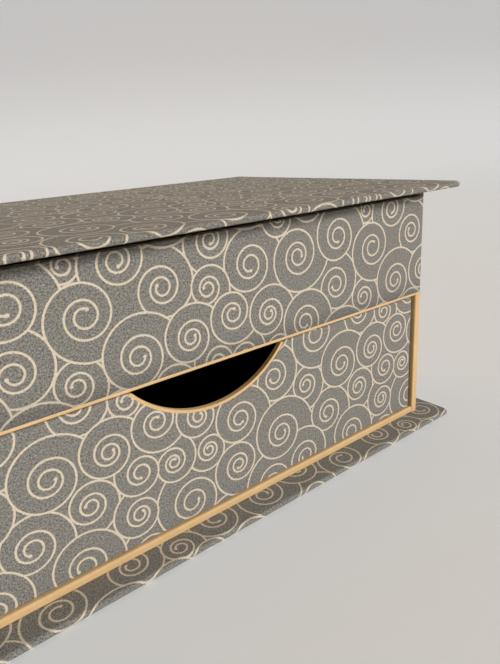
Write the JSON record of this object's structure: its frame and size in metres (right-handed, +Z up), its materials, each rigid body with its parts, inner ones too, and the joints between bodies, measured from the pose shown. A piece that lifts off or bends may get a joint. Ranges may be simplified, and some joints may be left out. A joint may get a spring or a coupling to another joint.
{
  "type": "sewing box",
  "caption": "Cloth-covered board sewing box with an overhanging cloth-hinged lid over an open tray and a sliding drawer below it with a half-moon finger cut.",
  "frame": {"origin": "centre of the base's footprint, on the surface it stands on", "axes": "+X to the right seen from the drawer side, -Y to the front where the drawer opens, +Z up"},
  "size_m": [0.255, 0.1568, 0.111],
  "materials": {
    "cloth": "matte",
    "tan_paper": "matte",
    "board": "matte",
    "dark_paper": "matte"
  },
  "bodies": {
    "case": {"base_board": "board", "base_cover": "cloth", "base_liner": "tan_paper", "floor_board": "board", "floor_wrap": "tan_paper", "left_wall": "board", "right_wall": "board", "back_wall": "board", "front_panel": "board", "shelf_board": "board", "case_cover": "cloth", "hinge_cloth": "cloth", "bay_ceiling": "tan_paper", "bay_left_lining": "tan_paper", "bay_right_lining": "tan_paper", "bay_back_lining": "tan_paper", "tray_floor_lining": "tan_paper", "tray_front_lining": "tan_paper", "tray_back_lining": "tan_paper", "tray_left_lining": "tan_paper", "tray_right_lining": "tan_paper"},
    "lid": {"lid_board": "board", "lid_cover": "cloth", "lid_lining": "tan_paper"},
    "drawer": {"drawer_front": "board", "drawer_front_cover": "cloth", "finger_cut_binding": "tan_paper", "drawer_left": "board", "drawer_right": "board", "drawer_back": "board", "drawer_bottom": "board", "drawer_wrap": "tan_paper", "drawer_floor_lining": "dark_paper", "drawer_front_lining": "dark_paper", "drawer_back_lining": "dark_paper", "drawer_left_lining": "dark_paper", "drawer_right_lining": "dark_paper"}
  },
  "joints": [
    {"name": "lid_hinge", "type": "hinge", "parent": "case", "child": "lid", "pos_m": [0, 0.0784, 0.1086], "axis": [-1, 0, 0], "range_deg": [0, 180], "deforming": ["hinge_cloth"]},
    {"name": "drawer_slide", "type": "slide", "parent": "case", "child": "drawer", "axis": [0, -1, 0], "range_m": [0, 0.112]}
  ]
}
